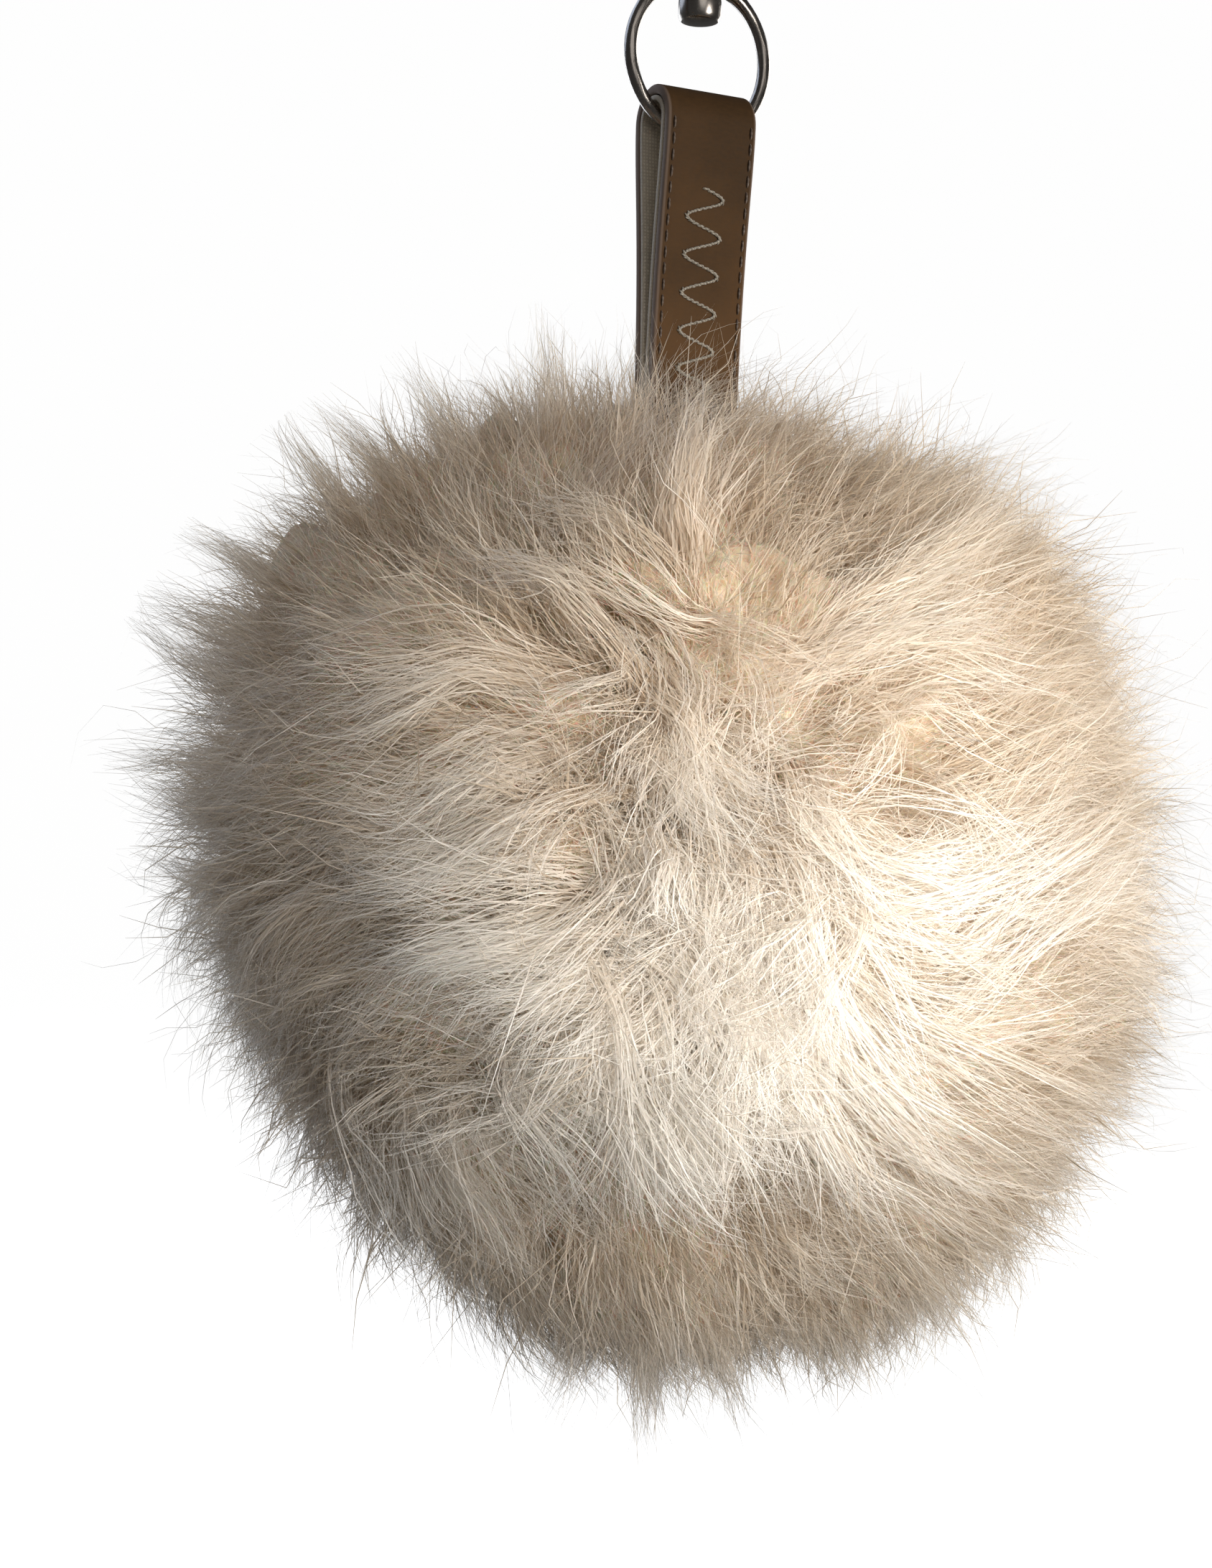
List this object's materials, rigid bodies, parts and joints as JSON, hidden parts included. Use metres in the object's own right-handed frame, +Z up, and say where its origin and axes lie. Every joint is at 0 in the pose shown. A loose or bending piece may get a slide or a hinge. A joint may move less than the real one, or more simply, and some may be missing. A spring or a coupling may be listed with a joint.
{
  "type": "plush keychain",
  "caption": "Round long-pile fur ball on a folded strap, hung from a swivelling ring under a snap hook with a sprung gate.",
  "frame": {"origin": "top of the space inside the hook's crown, on its centre plane, where the object hangs", "axes": "+Z up, +X along the strap's width, -Y towards the strap's front face"},
  "size_m": [0.14, 0.14, 0.2236],
  "materials": {
    "gunmetal": "polished",
    "spring_steel": "satin",
    "strap_face": "satin",
    "strap_lining": "matte",
    "edge_thread": "matte",
    "motif_thread": "satin",
    "hide": "matte",
    "button": "satin",
    "wadding": "matte",
    "fur": "matte"
  },
  "bodies": {
    "hook": {"hook_body": "gunmetal", "gate_pin": "gunmetal", "gate_spring": "spring_steel", "swivel_post": "gunmetal"},
    "gate": {"hook_gate": "gunmetal"},
    "ring": {"swivel_ring": "gunmetal"},
    "strap": {"strap_band": "strap_face", "strap_lining": "strap_lining", "edge_stitch_left": "edge_thread", "edge_stitch_right": "edge_thread", "motif_thread": "motif_thread"},
    "pompom": {"fur": "fur", "pelt": "hide", "stuffing": "wadding", "gather_thread": "edge_thread", "anchor_button": "button", "anchor_tie": "edge_thread"}
  },
  "joints": [
    {"name": "gate_hinge", "type": "hinge", "parent": "hook", "child": "gate", "pos_m": [0.0048, 0, -0.0162], "axis": [0, -1, 0], "range_deg": [0, 28], "stiffness_Nm_per_rad": 0.01, "springref_deg": -28.65, "deforming": ["gate_spring"]},
    {"name": "swivel", "type": "hinge", "parent": "hook", "child": "ring", "pos_m": [0, 0, -0.0295], "axis": [0, 0, 1], "continuous": true},
    {"name": "strap_swing", "type": "hinge", "parent": "ring", "child": "strap", "pos_m": [0, 0, -0.0492], "axis": [1, 0, 0], "range_deg": [-90, 90]},
    {"name": "pompom_sway", "type": "hinge", "parent": "strap", "child": "pompom", "pos_m": [0, 0, -0.119], "axis": [1, 0, 0], "range_deg": [-20, 20]}
  ]
}
